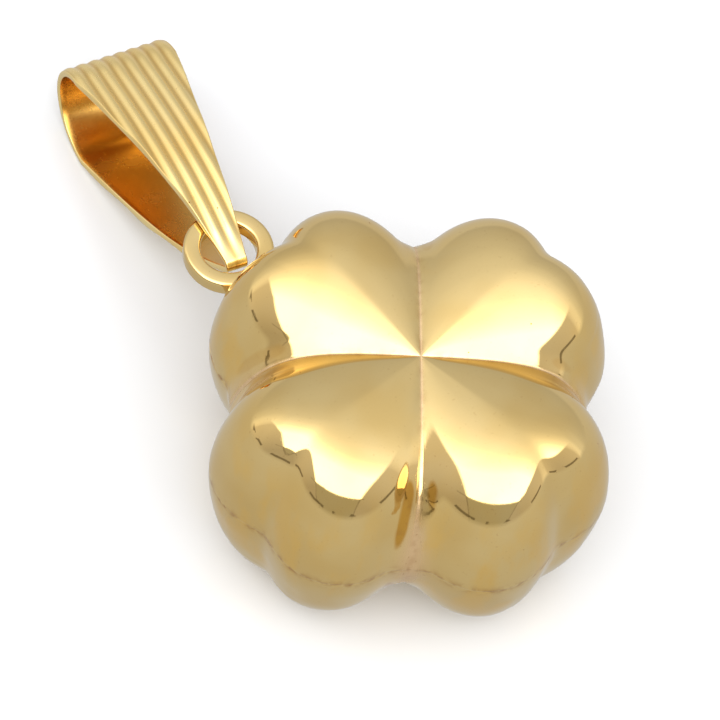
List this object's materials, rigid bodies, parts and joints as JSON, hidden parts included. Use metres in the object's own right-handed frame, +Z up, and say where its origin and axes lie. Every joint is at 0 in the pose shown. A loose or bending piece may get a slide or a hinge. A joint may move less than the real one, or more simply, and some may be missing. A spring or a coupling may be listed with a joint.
{
  "type": "puffed four leaf clover pendant with bail",
  "caption": "Hollow puffed clover pendant in polished yellow gold with a soldered ring and a fluted teardrop bail for a chain.",
  "frame": {"origin": "centre of the whole pendant's box, on the floor under the crests of the leaves", "axes": "+Y from the clover to its ring and bail, +X to the right seen from the front, +Z up out of the front face"},
  "size_m": [0.0132, 0.0236, 0.0084],
  "materials": {
    "polished_gold": "polished"
  },
  "bodies": {
    "root": {"clover": "polished_gold", "bail": "polished_gold"}
  },
  "joints": []
}
